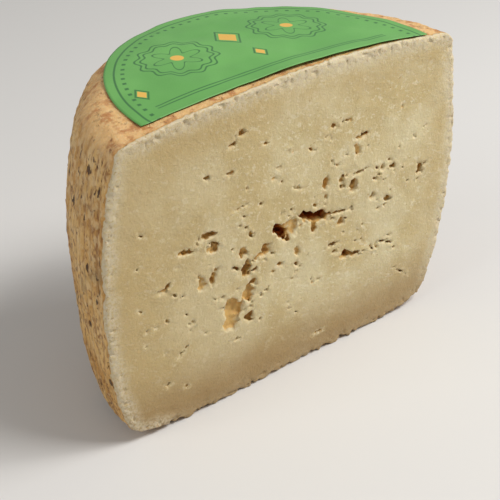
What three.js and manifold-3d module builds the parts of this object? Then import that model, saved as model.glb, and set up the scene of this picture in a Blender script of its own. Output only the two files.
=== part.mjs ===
// A half wheel of basket-formed cheese, standing on its base, with a thin paper label on its top.
// Millimetres, +Z up. The cut face looks towards -Y, and X runs along it.
// While it is built, the wheel's axis is at x = 0, y = 0, and the cut lies in the plane y = 0.
import * as THREE from 'three';
import { mergeVertices } from 'three/addons/utils/BufferGeometryUtils.js';
import Module from 'manifold-3d';

// ---- driving dimensions of the wheel ----
const BELLY_RADIUS = 96;
const BELLY_HEIGHT = 74;
const CROWN_HEIGHT = 142;
const CROWN_FALL = 0.00078;
const FOOT_FLAT_RADIUS = 60;
const FOOT_EDGE_RADIUS = 78;
const FOOT_EDGE_RISE = 3.2;
const HEEL_HEIGHT = 9;
const SHOULDER_SIZE = 5.8;
const BACK_SHOULDER = 9.6;
const SHOULDER_TURN = 0.6;
const SHOULDER_FULL_X = -50;
const SHOULDER_NONE_X = 20;
const UPPER_DRAW_IN = 0.00206;
const LOWER_DRAW_IN = 0.00102;
const LOWER_DRAW_POWER = 2.2;

// ---- how the wheel is out of true ----
const LEAN = 0.05;
const BACK_RISE = 0.05;
const BACK_RISE_SKEW = 0.5;
const BACK_RISE_FROM = 40;
const BACK_FLAT = 1.5;
const BACK_WAIST = 4.2;
const WAIST_HEIGHT = 52;
const WAIST_REACH = 28;
const SIDE_WAVE = 0.5;

// ---- label ----
const LABEL_RADIUS = 72.8;
const LABEL_CENTRE = { x: 3.2, y: 9.8 };
const LABEL_CHORD = 3.4;
const LABEL_CHORD_SLOPE = -0.037;
const LABEL_THICKNESS = 0.4;
const LABEL_GAP = 0.3;
const LABEL_CURL = 1;
const LABEL_CURL_REACH = 12;

// ---- fineness of the meshes ----
const WHEEL_STEPS = 116;
const WALL_STEPS = 15;
const CORNER_STEPS = 4;
const CROWN_STEPS = 5;
const LABEL_STEPS = 96;
const LABEL_RINGS = 6;
const POCKET_DETAIL = 2;
const MERGE_DISTANCE = 1e-4;

// ---- openings in the cut face: place along the cut, height, width, rise, depth, tilt in degrees ----
const POCKETS = [
  { at: -7.6, up: 73.2, wide: 8.5, high: 8.5, deep: 13, tilt: -35 },
  { at: -4.0, up: 69.2, wide: 7.5, high: 5.0, deep: 8, tilt: -48 },
  { at: 9.5, up: 73.3, wide: 15.5, high: 6.2, deep: 11, tilt: -24 },
  { at: 17.5, up: 70.3, wide: 11.0, high: 4.2, deep: 7, tilt: -16 },
  { at: -30.5, up: 63.6, wide: 8.0, high: 2.6, deep: 6, tilt: -35 },
  { at: -26.6, up: 61.5, wide: 7.5, high: 6.5, deep: 7, tilt: 40 },
  { at: -16.0, up: 66.8, wide: 6.6, high: 5.0, deep: 4, tilt: 25 },
  { at: 31.3, up: 46.2, wide: 11.5, high: 4.6, deep: 7, tilt: -24 },
  { at: 33.7, up: 81.2, wide: 6.0, high: 4.0, deep: 7, tilt: 8 },
  { at: 26.7, up: 81.8, wide: 4.2, high: 2.6, deep: 4, tilt: 12 },
  { at: -34.0, up: 44.2, wide: 13.0, high: 11.0, deep: 4, tilt: -30 },
  { at: -25.2, up: 49.0, wide: 8.0, high: 9.0, deep: 4, tilt: 0 },
  { at: -25.0, up: 37.4, wide: 5.2, high: 5.6, deep: 4, tilt: 20 },
  { at: -42.7, up: 79.4, wide: 8.0, high: 4.6, deep: 4, tilt: -12 },
  { at: -45.3, up: 85.2, wide: 8.5, high: 3.8, deep: 4, tilt: 0 },
  { at: 39.3, up: 102.6, wide: 7.5, high: 3.2, deep: 4, tilt: -4 },
];
const POCKET_LUMPS = 0.14;

const COLOURS = { paste: '#c9b78d', label: '#70ac62' };

const wasm = await Module();
wasm.setup();

/** Radius of the wheel's wall at a height, before it is leaned. */
function wallRadius(height) {
  const away = height - BELLY_HEIGHT;
  if (away > 0) return BELLY_RADIUS - UPPER_DRAW_IN * away ** 2;
  return BELLY_RADIUS - LOWER_DRAW_IN * (-away) ** LOWER_DRAW_POWER;
}

/** Height of the domed crown at a distance from the axis, before the back is raised. */
function crownHeight(radius) {
  return CROWN_HEIGHT - CROWN_FALL * radius ** 2;
}

/** Points along a rounded corner, from one point to another past a control point. */
function cornerPoints(from, control, to) {
  return new THREE.QuadraticBezierCurve(from, control, to).getPoints(CORNER_STEPS);
}

/** How far the shoulder is rounded in one direction about the axis, most at the back on the left. */
function shoulderSize(angle) {
  const behind = THREE.MathUtils.clamp(Math.sin(angle) / SHOULDER_TURN, 0, 1);
  const x = BELLY_RADIUS * Math.cos(angle);
  const left = 1 - THREE.MathUtils.smoothstep(x, SHOULDER_FULL_X, SHOULDER_NONE_X);
  return SHOULDER_SIZE + BACK_SHOULDER * behind * left;
}

/** Half section of the whole wheel, from the axis at its foot to the axis at its crown. */
function wheelProfile(shoulder) {
  const heel = new THREE.Vector2(wallRadius(HEEL_HEIGHT), HEEL_HEIGHT);
  const footEdge = new THREE.Vector2(FOOT_EDGE_RADIUS, FOOT_EDGE_RISE);
  const heelControl = new THREE.Vector2(wallRadius(FOOT_EDGE_RISE), FOOT_EDGE_RISE + 1);
  const shoulderTop = crownHeight(BELLY_RADIUS);
  const wallEnd = shoulderTop - shoulder;
  const cornerRadius = wallRadius(shoulderTop);
  const crownEnd = cornerRadius - shoulder;

  const points = [new THREE.Vector2(0, 0), new THREE.Vector2(FOOT_FLAT_RADIUS, 0)];
  points.push(...cornerPoints(footEdge, heelControl, heel));
  for (let step = 1; step < WALL_STEPS; step += 1) {
    const height = THREE.MathUtils.lerp(HEEL_HEIGHT, wallEnd, step / WALL_STEPS);
    points.push(new THREE.Vector2(wallRadius(height), height));
  }
  points.push(...cornerPoints(
    new THREE.Vector2(wallRadius(wallEnd), wallEnd),
    new THREE.Vector2(cornerRadius, shoulderTop),
    new THREE.Vector2(crownEnd, crownHeight(crownEnd)),
  ));
  for (let step = CROWN_STEPS - 1; step > 0; step -= 1) {
    const radius = crownEnd * step / CROWN_STEPS;
    points.push(new THREE.Vector2(radius, crownHeight(radius)));
  }
  points.push(new THREE.Vector2(0, crownHeight(0)));
  return points;
}

/** Moves a point of the true wheel to where the uneven one has it. */
function putOutOfTrue(point) {
  const angle = Math.atan2(point.y, point.x);
  const reach = Math.hypot(point.x, point.y) / BELLY_RADIUS;
  const wave = Math.sin(3 * angle + 0.6) + 0.6 * Math.sin(7 * angle + point.z / 23);
  const behind = Math.max(0, point.y) / BELLY_RADIUS;
  const waist = BACK_WAIST * Math.exp(-(((point.z - WAIST_HEIGHT) / WAIST_REACH) ** 2));
  const outward = (SIDE_WAVE * wave - (BACK_FLAT + waist) * behind) / BELLY_RADIUS;
  const swell = 1 + outward * reach ** 2 * Math.min(1, point.z / HEEL_HEIGHT);
  const skew = 1 - BACK_RISE_SKEW * point.x / BELLY_RADIUS;
  const lift = BACK_RISE * Math.max(0, point.y) * skew;
  const raised = Math.max(0, (point.z - BACK_RISE_FROM) / (CROWN_HEIGHT - BACK_RISE_FROM));
  point.x = point.x * swell + LEAN * (point.z - BELLY_HEIGHT);
  point.y *= swell;
  point.z += lift * raised;
  return point;
}

/** Changes every vertex of a geometry with a function that takes and returns a Vector3. */
function moveVertices(geometry, change) {
  const positions = geometry.attributes.position;
  const point = new THREE.Vector3();
  for (let index = 0; index < positions.count; index += 1) {
    change(point.fromBufferAttribute(positions, index));
    positions.setXYZ(index, point.x, point.y, point.z);
  }
  return geometry;
}

/** Joins a geometry's shared vertices and drops the faces that shrink to nothing. */
function weld(geometry) {
  geometry.deleteAttribute('normal');
  geometry.deleteAttribute('uv');
  const welded = mergeVertices(geometry, MERGE_DISTANCE);
  const faces = [];
  for (let corner = 0; corner < welded.index.count; corner += 3) {
    const [a, b, c] = [0, 1, 2].map((offset) => welded.index.getX(corner + offset));
    if (a !== b && b !== c && c !== a) faces.push(a, b, c);
  }
  welded.setIndex(faces);
  return welded;
}

/** A welded geometry as a solid that can be joined and cut. */
function toSolid(geometry) {
  return new wasm.Manifold(new wasm.Mesh({
    numProp: 3,
    vertProperties: new Float32Array(geometry.attributes.position.array),
    triVerts: new Uint32Array(geometry.index.array),
  }));
}

/** A solid as a geometry again. */
function toGeometry(solid) {
  const mesh = solid.getMesh();
  const geometry = new THREE.BufferGeometry();
  geometry.setAttribute('position', new THREE.BufferAttribute(mesh.vertProperties, 3));
  geometry.setIndex(new THREE.BufferAttribute(mesh.triVerts, 1));
  geometry.computeVertexNormals();
  return geometry;
}

/** A body turned about +Z, with its half section given for each direction about the axis. */
function turned(profileAt, steps) {
  const halfStep = Math.PI / steps;
  const geometry = new THREE.LatheGeometry(profileAt(0), steps, halfStep);
  geometry.rotateX(Math.PI / 2);
  const positions = geometry.attributes.position;
  for (let step = 0; step <= steps; step += 1) {
    const angle = halfStep + (2 * Math.PI * step) / steps - Math.PI / 2;
    const profile = profileAt(angle);
    profile.forEach((point, place) => {
      const index = step * profile.length + place;
      positions.setXYZ(index, point.x * Math.cos(angle), point.x * Math.sin(angle), point.y);
    });
  }
  return weld(geometry);
}

/** The block that is taken off in front of an upright plane, y = start + slope * x. */
function blockInFront(start, slope = 0) {
  const size = 4 * BELLY_RADIUS;
  const block = new THREE.BoxGeometry(size, size, size);
  block.translate(0, -size / 2, 0);
  block.rotateZ(Math.atan(slope));
  block.translate(0, start, 0);
  return toSolid(weld(block));
}

/** One uneven opening in the cut face, as the lump that is taken out of the paste. */
function pocketSolid(pocket) {
  const lump = weld(new THREE.IcosahedronGeometry(1, POCKET_DETAIL));
  moveVertices(lump, (point) => {
    const ripple = Math.sin(4 * point.x + pocket.at) + Math.sin(5 * point.z + pocket.up);
    return point.multiplyScalar(1 + POCKET_LUMPS * ripple);
  });
  lump.scale(pocket.wide / 2, pocket.deep, pocket.high / 2);
  lump.rotateY(-THREE.MathUtils.degToRad(pocket.tilt));
  lump.translate(pocket.at, 0, pocket.up);
  return toSolid(lump);
}

/** The half wheel with its cut face and the openings in it. */
function cheeseGeometry() {
  const trueWheel = turned((angle) => wheelProfile(shoulderSize(angle)), WHEEL_STEPS);
  const wheel = moveVertices(trueWheel, putOutOfTrue);
  let paste = toSolid(wheel).subtract(blockInFront(0));
  for (const pocket of POCKETS) paste = paste.subtract(pocketSolid(pocket));
  return toGeometry(paste);
}

/** Lays a point of the flat label on the crown, with its straight edge curling up. */
function layOnCrown(point) {
  const above = point.z;
  const fromChord = Math.max(0, point.y - LABEL_CHORD - LABEL_CHORD_SLOPE * point.x);
  const curl = LABEL_CURL * Math.max(0, 1 - fromChord / LABEL_CURL_REACH) ** 2;
  const x = point.x;
  putOutOfTrue(point.setZ(crownHeight(Math.hypot(point.x, point.y))));
  const shift = point.x - x;
  putOutOfTrue(point.set(x - shift, point.y, crownHeight(Math.hypot(x - shift, point.y))));
  point.x = x;
  point.z += LABEL_GAP + above + curl;
  return point;
}

/** The paper disc with its front cut off along a chord. */
function labelGeometry() {
  const profile = [];
  for (let ring = 0; ring <= LABEL_RINGS; ring += 1) {
    profile.push(new THREE.Vector2(LABEL_RADIUS * ring / LABEL_RINGS, 0));
  }
  for (let ring = LABEL_RINGS; ring >= 0; ring -= 1) {
    profile.push(new THREE.Vector2(LABEL_RADIUS * ring / LABEL_RINGS, LABEL_THICKNESS));
  }
  const disc = turned(() => profile, LABEL_STEPS);
  disc.translate(LABEL_CENTRE.x, LABEL_CENTRE.y, 0);
  const front = blockInFront(LABEL_CHORD, LABEL_CHORD_SLOPE);
  const trimmed = toGeometry(toSolid(disc).subtract(front));
  trimmed.deleteAttribute('normal');
  return moveVertices(trimmed, layOnCrown);
}

/** A named mesh with its own material. */
function namedMesh(name, geometry, colour, roughness) {
  geometry.computeVertexNormals();
  const material = new THREE.MeshStandardMaterial({ color: colour, roughness, metalness: 0 });
  const mesh = new THREE.Mesh(geometry, material);
  mesh.name = name;
  return mesh;
}

const cheese = namedMesh('cheese', cheeseGeometry(), COLOURS.paste, 0.75);
const label = namedMesh('label', labelGeometry(), COLOURS.label, 0.5);

// The origin goes to the middle of the foot's box.
const chunk = new THREE.Group();
chunk.add(cheese, label);
const box = new THREE.Box3().setFromObject(chunk);
const middle = box.getCenter(new THREE.Vector3());
chunk.position.set(-middle.x, -middle.y, -box.min.z);
chunk.updateMatrixWorld(true);

export default chunk;
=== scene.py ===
"""A half wheel of basket-formed hard cheese with a thin paper label on its top.

The cheese stands on its foot. Its cut face looks towards -Y, X runs along the cut and +Z is up.
Forms are worked out in millimetres and become metres when a mesh is made.
"""

import logging
import math
from dataclasses import dataclass
from enum import Enum

import bpy
import numpy as np
from mathutils import Matrix
from mathutils import Vector


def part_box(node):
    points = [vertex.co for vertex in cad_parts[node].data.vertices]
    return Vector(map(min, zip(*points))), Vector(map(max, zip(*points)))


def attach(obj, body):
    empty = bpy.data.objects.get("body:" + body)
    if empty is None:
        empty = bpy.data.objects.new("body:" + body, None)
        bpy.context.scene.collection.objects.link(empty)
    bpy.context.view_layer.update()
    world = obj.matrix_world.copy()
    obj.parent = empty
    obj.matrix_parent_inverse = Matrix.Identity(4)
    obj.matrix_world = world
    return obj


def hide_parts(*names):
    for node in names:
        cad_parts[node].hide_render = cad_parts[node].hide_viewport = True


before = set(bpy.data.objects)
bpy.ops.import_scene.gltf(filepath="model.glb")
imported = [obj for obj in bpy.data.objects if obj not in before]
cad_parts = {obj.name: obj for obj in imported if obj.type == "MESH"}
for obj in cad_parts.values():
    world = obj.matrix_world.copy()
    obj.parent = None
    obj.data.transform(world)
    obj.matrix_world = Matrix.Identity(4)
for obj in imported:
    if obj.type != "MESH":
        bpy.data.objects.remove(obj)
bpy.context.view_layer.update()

LOG = logging.getLogger("half_wheel")
MM = 0.001
Array = np.ndarray
Triple = tuple[float, float, float]
Colour = Triple
Node = bpy.types.Node
Socket = bpy.types.NodeSocket

# Where the cut lies and where the wheel's axis stands, in millimetres of the frame.
CUT_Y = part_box("cheese")[0].y / MM
WHEEL_DEPTH = (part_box("cheese")[1].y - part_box("cheese")[0].y) / MM
WHEEL_WIDTH = (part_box("cheese")[1].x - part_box("cheese")[0].x) / MM
AXIS_X = -0.23


def srgb(red: int, green: int, blue: int) -> Colour:
    """Linear colour of an 8-bit sRGB one."""
    shares = [value / 255 for value in (red, green, blue)]
    return tuple(((s + 0.055) / 1.055) ** 2.4 if s > 0.04045 else s / 12.92 for s in shares)


def ease(low: float | Array, high: float | Array, value: Array) -> Array:
    """Smooth step from 0 at low to 1 at high."""
    share = np.clip((value - low) / (high - low), 0.0, 1.0)
    return share * share * (3.0 - 2.0 * share)


def rounded_max(first: Array, second: Array, radius: float | Array) -> Array:
    """Greater of two distances, with the corner between them rounded.

    Args:
        first: Distances to the first surface, positive outside.
        second: Distances to the second surface, positive outside.
        radius: Radius of the corner.

    Returns:
        The joined distances.
    """
    a = np.maximum(first + radius, 0.0)
    b = np.maximum(second + radius, 0.0)
    return np.minimum(np.maximum(first, second), -radius) + np.hypot(a, b)


class LatticeNoise:
    """Smooth repeatable noise between -1 and 1, from a lattice of seeded values."""

    layer_shift = 7.3

    def __init__(self, seed: int, size: int = 32) -> None:
        """Fills the lattice.

        Args:
            seed: Seed of the values.
            size: Values along each side before the lattice repeats.
        """
        self._size = size
        self._values = np.random.default_rng(seed).uniform(-1.0, 1.0, size**3).astype(np.float32)

    def at(self, x: Array, y: Array, z: Array, grain: float) -> Array:
        """Noise at some points.

        Args:
            x: First coordinates.
            y: Second coordinates.
            z: Third coordinates.
            grain: Distance between lattice values, in the coordinates' unit.

        Returns:
            One value for each point.
        """
        total = np.zeros(np.broadcast(x, y, z).shape, np.float32)
        cells = []
        shares = []
        for coordinate in (x, y, z):
            place = np.asarray(coordinate, np.float32) / grain
            cell = np.floor(place)
            share = place - cell
            cells.append(cell.astype(np.int64))
            shares.append(share * share * (3.0 - 2.0 * share))
        for corner in range(8):
            steps = (corner >> 2 & 1, corner >> 1 & 1, corner & 1)
            index = 0
            weight = 1.0
            for cell, share, step in zip(cells, shares, steps):
                index = index * self._size + (cell + step) % self._size
                weight = weight * (share if step else 1.0 - share)
            total += self._values[index] * weight
        return total

    def layered(self, x: Array, y: Array, z: Array, grain: float, layers: int = 3) -> Array:
        """Sum of ever finer noise.

        Args:
            x: First coordinates.
            y: Second coordinates.
            z: Third coordinates.
            grain: Distance between lattice values of the coarsest layer.
            layers: How many layers, each half as large and half as strong as the last.

        Returns:
            One value for each point, about -1 to 1.
        """
        total = 0.0
        strength = 1.0
        for layer in range(layers):
            offset = self.layer_shift * layer
            total = total + strength * self.at(x + offset, y - offset, z + offset, grain)
            grain *= 0.5
            strength *= 0.5
        return total / (2.0 - 2.0 * strength)


class CurdGrains:
    """Rounded grains of curd, one near each point of a jumbled lattice."""

    jumble = (0.1, 0.9)
    far_off = 9.0

    def __init__(self, seed: int, size: int = 24) -> None:
        """Places the grains.

        Args:
            seed: Seed of their places.
            size: Cells along each side before the lattice repeats.
        """
        self._size = size
        shift = np.random.default_rng(seed).uniform(*self.jumble, (size**3, 3))
        self._shift = shift.astype(np.float32)

    def away(self, x: Array, y: Array, z: Array, grain: float) -> Array:
        """Distance from each point to the middle of its nearest grain.

        Args:
            x: First coordinates.
            y: Second coordinates.
            z: Third coordinates.
            grain: Size of a lattice cell, in the coordinates' unit.

        Returns:
            The distances.
        """
        place = np.stack([x, y, z], axis=-1).astype(np.float32) / grain
        cell = np.floor(place).astype(np.int64)
        best = np.full(x.shape, self.far_off, np.float32)
        steps = (-1, 0, 1)
        for step in [(i, j, k) for i in steps for j in steps for k in steps]:
            other = cell + np.array(step)
            wrapped = other % self._size
            index = (wrapped[..., 0] * self._size + wrapped[..., 1]) * self._size + wrapped[..., 2]
            gap = other + self._shift[index] - place
            best = np.minimum(best, (gap * gap).sum(axis=-1))
        return np.sqrt(best) * grain


@dataclass(frozen=True)
class WheelForm:
    """The wheel's outer form before any wear, as a signed distance in millimetres."""

    belly_radius: float = 96.0
    belly_height: float = 74.0
    crown_height: float = 142.0
    crown_fall: float = 0.00078
    foot_flat: float = 60.0
    foot_slope: float = 0.178
    upper_draw_in: float = 0.00206
    lower_draw_in: float = 0.00102
    lower_draw_power: float = 2.2
    lean: float = 0.05
    back_rise: float = 0.05
    back_rise_skew: float = 0.5
    back_rise_from: float = 40.0
    back_flat: float = 1.5
    back_waist: float = 4.2
    waist_height: float = 52.0
    waist_reach: float = 28.0
    side_wave: float = 0.5
    wave_turns: tuple[float, float] = (3.0, 7.0)
    wave_shift: float = 0.6
    wave_share: float = 0.6
    wave_climb: float = 23.0
    shoulder: float = 5.0
    back_shoulder: float = 8.2
    shoulder_turn: float = 0.6
    shoulder_full_x: float = -50.0
    shoulder_none_x: float = 20.0
    heel: float = 5.5

    def rise(self, x: Array, y: Array) -> Array:
        """How far the crown is raised behind the cut, more on the left than on the right."""
        return self.back_rise * np.maximum(y, 0.0) * (1.0 - self.back_rise_skew * x / self.belly_radius)

    def trued(self, x: Array, y: Array, z: Array) -> tuple[Array, Array, Array]:
        """Takes the lean and the raised back out of some points.

        Args:
            x: Distances along the cut, from the wheel's axis.
            y: Distances behind the cut.
            z: Heights.

        Returns:
            The points' radius, angle and height on the true wheel.
        """
        span = self.crown_height - self.back_rise_from
        rise = self.rise(x, y) / span
        height = np.where(z > self.back_rise_from, (z + rise * self.back_rise_from) / (1.0 + rise), z)
        across = x - self.lean * (height - self.belly_height)
        return np.hypot(across, y), np.arctan2(y, across), height

    def wall(self, height: Array) -> Array:
        """Radius of the wall at some heights of the true wheel."""
        away = height - self.belly_height
        below = self.lower_draw_in * np.maximum(-away, 0.0) ** self.lower_draw_power
        return self.belly_radius - np.where(away > 0.0, self.upper_draw_in * away**2, below)

    def distance(self, x: Array, y: Array, z: Array) -> Array:
        """Distance to the wheel's surface, positive outside.

        Args:
            x: Distances along the cut, from the wheel's axis.
            y: Distances behind the cut.
            z: Heights.

        Returns:
            One distance for each point.
        """
        radius, angle, height = self.trued(x, y, z)
        slow, quick = self.wave_turns
        wave = np.sin(slow * angle + self.wave_shift)
        wave = wave + self.wave_share * np.sin(quick * angle + height / self.wave_climb)
        waist = self.back_waist * np.exp(-(((height - self.waist_height) / self.waist_reach) ** 2))
        behind = np.maximum(y, 0.0) / self.belly_radius
        side = radius - self.wall(height) - self.side_wave * wave + (self.back_flat + waist) * behind
        top = height - self.crown_height + self.crown_fall * radius**2
        foot = self.foot_slope * np.maximum(radius - self.foot_flat, 0.0) - height
        left = ease(self.shoulder_none_x, self.shoulder_full_x, x)
        corner = self.shoulder + self.back_shoulder * np.minimum(behind / self.shoulder_turn, 1.0) * left
        return rounded_max(rounded_max(side, top, corner), foot, self.heel)

    def crown_at(self, x: Array, y: Array) -> Array:
        """Height of the crown above some points.

        Args:
            x: Distances along the cut, from the wheel's axis.
            y: Distances behind the cut.

        Returns:
            One height for each point.
        """
        across = x - self.lean * (self.crown_height - self.belly_height)
        height = self.crown_height - self.crown_fall * (across**2 + y**2)
        span = self.crown_height - self.back_rise_from
        return height + self.rise(x, y) * (height - self.back_rise_from) / span


@dataclass(frozen=True)
class Pocket:
    """An opening in the paste that the cut has laid bare."""

    at: float
    up: float
    wide: float
    high: float
    deep: float
    tilt: float = 0.0

    # How the wall is roughened: grains of curd by the opening's size, then coarse and fine noise.
    roof_slope = 0.22
    least_grain = 1.2
    grain_growth = 0.62
    most_grain = 3.4
    grain_radius = 0.52
    torn_height = 0.85
    coarse_height = 0.30
    coarse_most = 2.0
    coarse_grain = 2.6
    fine_height = 0.30
    fine_grain = 1.0
    fine_shift = 31.0
    uneven_reach = 2.5

    def distance(self, x: Array, y: Array, z: Array, noise: LatticeNoise, grains: CurdGrains) -> Array:
        """Distance to the opening's wall, negative inside it.

        Args:
            x: Distances along the cut, from the wheel's axis.
            y: Distances behind the cut.
            z: Heights.
            noise: Noise that makes the wall uneven.
            grains: Grains of curd that stand into the opening.

        Returns:
            One distance for each point.
        """
        turn = math.radians(self.tilt)
        along = (x - self.at) * math.cos(turn) + (z - self.up) * math.sin(turn)
        across = (z - self.up) * math.cos(turn) - (x - self.at) * math.sin(turn)
        half_wide = self.wide / 2.0
        half_high = self.high / 2.0
        across = across - self.roof_slope * half_high * np.maximum(y, 0.0) / self.deep
        spread = (along / half_wide) ** 2 + (across / half_high) ** 2
        reach = (spread**2 + (y / self.deep) ** 4) ** 0.25
        small = min(half_wide, half_high)
        grain = min(self.most_grain, self.least_grain + self.grain_growth * small)
        torn = self.grain_radius * grain - grains.away(x, y, z, grain)
        coarse = noise.at(x, y, z, self.coarse_grain)
        fine = noise.at(x + self.fine_shift, y, z, self.fine_grain)
        return (
            small * (reach - 1.0)
            + self.torn_height * torn
            + self.coarse_height * min(small, self.coarse_most) * coarse
            + self.fine_height * fine
        )

    def holds(self, low: float, high: float) -> tuple[float, float]:
        """Widens a span of the opening by what its uneven wall may add."""
        return low - self.uneven_reach, high + self.uneven_reach


# Openings that the cut shows: place along the cut and up, width, height and depth, tilt in degrees.
POCKETS = (
    Pocket(-8.6, 74.2, 6.4, 5.6, 15.0, -30),
    Pocket(-6.2, 70.6, 9.6, 5.0, 9.0, -52),
    Pocket(-1.6, 72.6, 6.5, 9.0, 1.3, -8),
    Pocket(7.2, 74.6, 11.5, 4.6, 10.0, -26),
    Pocket(13.6, 72.3, 14.5, 5.6, 12.0, -17),
    Pocket(11.2, 67.4, 3.6, 6.0, 3.2, 8),
    Pocket(25.8, 70.0, 11.0, 1.3, 2.5, -9),
    Pocket(-16.0, 66.8, 6.4, 5.0, 3.2, 28),
    Pocket(-20.6, 65.0, 4.4, 2.0, 2.6, 34),
    Pocket(-32.2, 64.3, 6.4, 1.9, 7.0, -38),
    Pocket(-26.6, 61.6, 5.6, 6.2, 7.5, 30),
    Pocket(-26.0, 65.4, 2.4, 5.2, 4.5, 8),
    Pocket(-22.8, 59.4, 4.2, 2.4, 3.0, 18),
    Pocket(-28.2, 70.2, 3.4, 5.4, 1.8, 12),
    Pocket(-34.4, 45.2, 11.5, 9.0, 2.6, -18),
    Pocket(-35.4, 38.4, 8.0, 7.4, 1.6, 10),
    Pocket(-25.4, 49.2, 6.4, 8.4, 2.2, 6),
    Pocket(-22.6, 53.8, 4.0, 2.4, 2.4, 24),
    Pocket(-25.0, 37.3, 4.6, 5.0, 4.4, 12),
    Pocket(-42.6, 80.0, 5.8, 2.2, 4.2, -14),
    Pocket(-43.2, 77.6, 6.4, 3.2, 1.7, -6),
    Pocket(-45.4, 85.2, 8.2, 3.2, 2.6, 0),
    Pocket(-56.6, 81.4, 8.6, 2.8, 2.2, -8),
    Pocket(-66.9, 69.2, 5.0, 2.0, 3.6, 38),
    Pocket(-44.0, 64.3, 3.0, 5.4, 3.4, -18),
    Pocket(-49.4, 63.2, 4.6, 5.6, 1.5, 16),
    Pocket(-61.4, 34.7, 5.2, 1.3, 2.2, 36),
    Pocket(-60.0, 17.0, 1.9, 1.2, 1.6, -20),
    Pocket(-68.0, 53.4, 1.8, 1.4, 1.6, 0),
    Pocket(-32.0, 121.1, 3.4, 1.9, 2.4, 16),
    Pocket(-27.6, 124.8, 4.4, 2.6, 1.6, 0),
    Pocket(-33.6, 109.0, 3.6, 1.9, 3.2, -6),
    Pocket(-44.8, 110.8, 2.8, 2.2, 1.6, 0),
    Pocket(-14.8, 116.1, 3.2, 1.0, 1.6, -4),
    Pocket(-28.0, 92.0, 7.0, 0.8, 1.2, 8),
    Pocket(-18.0, 89.4, 2.0, 1.6, 1.8, 0),
    Pocket(-26.4, 81.4, 2.0, 1.2, 1.8, 20),
    Pocket(-23.8, 77.6, 1.2, 4.2, 1.6, 28),
    Pocket(-33.4, 74.0, 0.9, 2.0, 1.5, -20),
    Pocket(-8.0, 102.6, 2.4, 3.0, 1.3, 0),
    Pocket(9.2, 105.4, 3.6, 1.0, 1.8, -24),
    Pocket(2.2, 90.0, 5.0, 0.9, 1.2, -24),
    Pocket(17.0, 86.6, 3.6, 5.8, 2.8, -6),
    Pocket(17.6, 80.2, 2.2, 2.4, 1.8, 0),
    Pocket(29.2, 112.5, 6.0, 1.2, 2.0, -4),
    Pocket(21.4, 112.2, 2.2, 1.8, 1.7, 10),
    Pocket(39.4, 102.8, 7.2, 2.5, 3.6, 2),
    Pocket(35.8, 96.8, 3.2, 5.4, 1.8, 8),
    Pocket(26.6, 81.9, 4.4, 1.9, 4.6, 12),
    Pocket(26.4, 85.4, 2.6, 3.4, 1.4, 0),
    Pocket(33.6, 81.5, 5.0, 3.6, 8.0, 8),
    Pocket(33.2, 79.0, 4.6, 2.8, 2.6, 0),
    Pocket(38.4, 85.9, 7.4, 1.4, 1.4, 4),
    Pocket(46.6, 79.2, 2.8, 1.4, 2.4, -28),
    Pocket(50.8, 82.8, 1.5, 3.6, 2.0, -24),
    Pocket(55.8, 85.4, 2.4, 1.4, 2.4, -12),
    Pocket(57.6, 81.7, 4.6, 2.2, 3.0, 8),
    Pocket(74.4, 74.4, 4.6, 5.2, 3.4, 0),
    Pocket(77.4, 76.4, 4.2, 1.0, 1.6, 6),
    Pocket(54.9, 66.4, 5.0, 3.8, 2.4, 0),
    Pocket(44.8, 70.4, 3.2, 2.4, 1.5, 0),
    Pocket(27.0, 64.5, 4.4, 4.0, 2.2, 14),
    Pocket(22.0, 55.1, 5.4, 2.2, 3.0, -10),
    Pocket(23.3, 50.8, 3.2, 0.9, 2.8, 14),
    Pocket(29.8, 46.8, 7.4, 4.2, 6.5, -22),
    Pocket(35.4, 44.5, 8.4, 2.3, 3.8, -8),
    Pocket(41.0, 44.3, 2.4, 1.3, 3.0, -14),
    Pocket(46.2, 43.4, 3.8, 1.5, 3.6, -52),
    Pocket(48.6, 45.0, 2.2, 1.0, 2.2, 24),
    Pocket(53.6, 44.2, 4.4, 1.3, 3.0, -10),
    Pocket(57.0, 42.4, 3.8, 1.4, 2.8, -34),
    Pocket(61.2, 38.2, 2.6, 1.0, 2.0, -16),
    Pocket(-8.0, 56.5, 3.2, 1.9, 2.2, -20),
    Pocket(0.9, 52.8, 2.4, 1.9, 1.6, -30),
    Pocket(1.3, 59.6, 3.0, 4.2, 1.3, 0),
    Pocket(39.4, 50.6, 2.2, 1.0, 1.6, -16),
    Pocket(66.0, 23.0, 7.2, 0.9, 1.4, -38),
    Pocket(14.0, 10.8, 4.0, 1.4, 1.2, 4),
    Pocket(-32.4, 28.8, 3.2, 1.2, 1.3, 6),
)


@dataclass(frozen=True)
class Pinholes:
    """Small openings between the large ones, most of them across the middle of the face."""

    seed: int = 5
    count: int = 120
    half_span: float = 80.0
    middle: float = 66.0
    climb: float = 0.10
    spread: float = 21.0
    widths: tuple[float, float] = (0.9, 2.2)
    flatness: tuple[float, float] = (0.35, 0.8)
    depths: tuple[float, float] = (0.7, 1.9)
    tilts: tuple[float, float] = (-50.0, 20.0)
    lowest: float = 12.0
    highest: float = 130.0

    def pockets(self) -> list[Pocket]:
        """Places the pinholes.

        Returns:
            The openings.
        """
        rng = np.random.default_rng(self.seed)
        pits = []
        for _ in range(self.count):
            at = rng.uniform(-self.half_span, self.half_span)
            up = self.middle + self.climb * at + rng.normal(0.0, self.spread)
            wide = rng.uniform(*self.widths)
            high = wide * rng.uniform(*self.flatness)
            pits.append(Pocket(at, up, wide, high, rng.uniform(*self.depths), rng.uniform(*self.tilts)))
        return [pit for pit in pits if self.lowest < pit.up < self.highest]


@dataclass(frozen=True)
class Bumps:
    """One layer of unevenness: how high it stands and the size of its bumps, in millimetres."""

    height: float
    grain: float

    def at(self, noise: LatticeNoise, x: Array, y: Array, z: Array) -> Array:
        """Heights of the layer at some points."""
        return self.height * noise.at(x, y, z, self.grain)


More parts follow.
